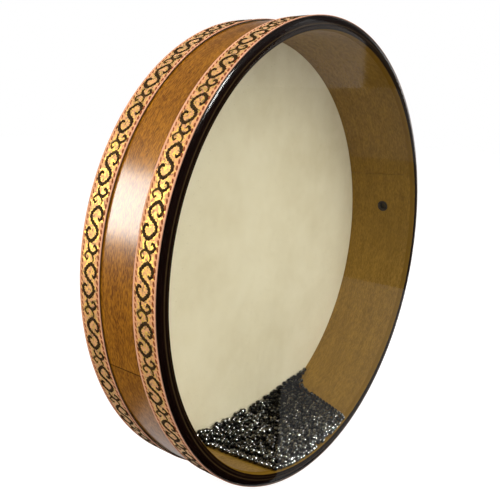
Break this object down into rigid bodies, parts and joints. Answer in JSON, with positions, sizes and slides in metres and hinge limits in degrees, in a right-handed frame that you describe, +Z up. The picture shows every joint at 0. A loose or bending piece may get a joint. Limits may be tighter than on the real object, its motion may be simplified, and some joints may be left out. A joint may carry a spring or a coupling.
{
  "type": "ocean drum",
  "caption": "Round wooden frame drum with a clear film head, a skin head, woven braid round both rims and loose steel shot that rolls inside.",
  "frame": {"origin": "on the floor, below the middle of the drum", "axes": "+Z up, drum axis along Y, clear head facing -Y, skin head facing +Y"},
  "size_m": [0.4, 0.078, 0.3997],
  "materials": {
    "outer_wood": "amber lacquered wood",
    "inner_wood": "plain olive-brown wood, thin lacquer",
    "dark_wood": "dark stained wood, high gloss",
    "clear_film": "clear glossy film",
    "skin": "pale cream stretched skin",
    "braid": "gold woven ribbon with dark scrolls",
    "plug_rubber": "dark matte stopper",
    "steel_shot": "dark burnished steel balls"
  },
  "bodies": {
    "drum": {"shell_inner_ply": "inner_wood", "shell_outer_ply": "outer_wood", "front_rim_hoop": "dark_wood", "clear_head": "clear_film", "skin_head": "skin", "front_braid": "braid", "back_braid": "braid", "fill_plug": "plug_rubber"},
    "shot_heap": {"shot_mid": "steel_shot"},
    "shot_heap_left": {"shot_left": "steel_shot"},
    "shot_heap_right": {"shot_right": "steel_shot"}
  },
  "joints": [
    {"name": "shot_roll", "type": "hinge", "parent": "drum", "child": "shot_heap", "pos_m": [0, 0, 0.1997], "axis": [0, -1, 0], "continuous": true},
    {"name": "shot_spread_left", "type": "hinge", "parent": "shot_heap", "child": "shot_heap_left", "pos_m": [0, 0, 0.1997], "axis": [0, 1, 0], "range_deg": [0, 110]},
    {"name": "shot_spread_right", "type": "hinge", "parent": "shot_heap", "child": "shot_heap_right", "pos_m": [0, 0, 0.1997], "axis": [0, -1, 0], "range_deg": [0, 110]}
  ]
}
